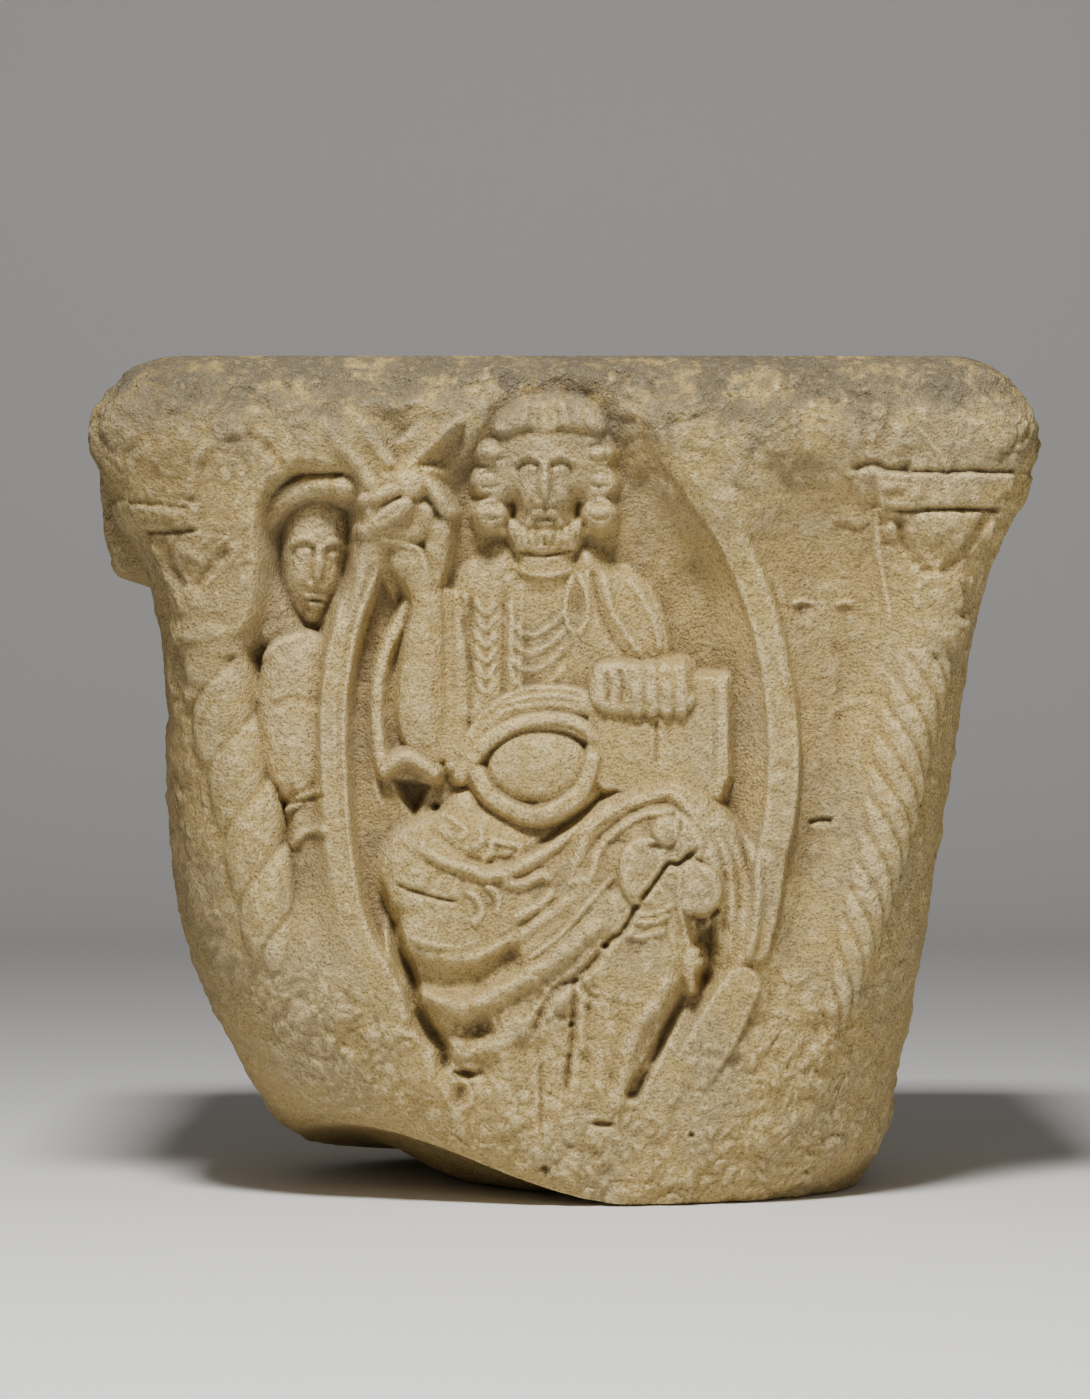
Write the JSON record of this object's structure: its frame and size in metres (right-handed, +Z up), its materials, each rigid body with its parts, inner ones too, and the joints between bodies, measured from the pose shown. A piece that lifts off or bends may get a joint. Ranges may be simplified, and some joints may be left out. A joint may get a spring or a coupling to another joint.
{
  "type": "carved stone capital",
  "caption": "Carved limestone capital with a seated blessing figure in an almond frame, a hooded figure beside it and twisted corner columns, standing on its bed.",
  "frame": {"origin": "on the plane of the flat bed that the capital stands on, under the middle of the block", "axes": "+Z up, front face with the seated figure towards -Y, +X to the right as the front is seen"},
  "size_m": [0.7806, 0.7227, 0.694],
  "materials": {
    "limestone": "weathered, grainy, tool-marked limestone with a grey-black crust on the worn top edge"
  },
  "bodies": {
    "root": {"capital": "limestone"}
  },
  "joints": []
}
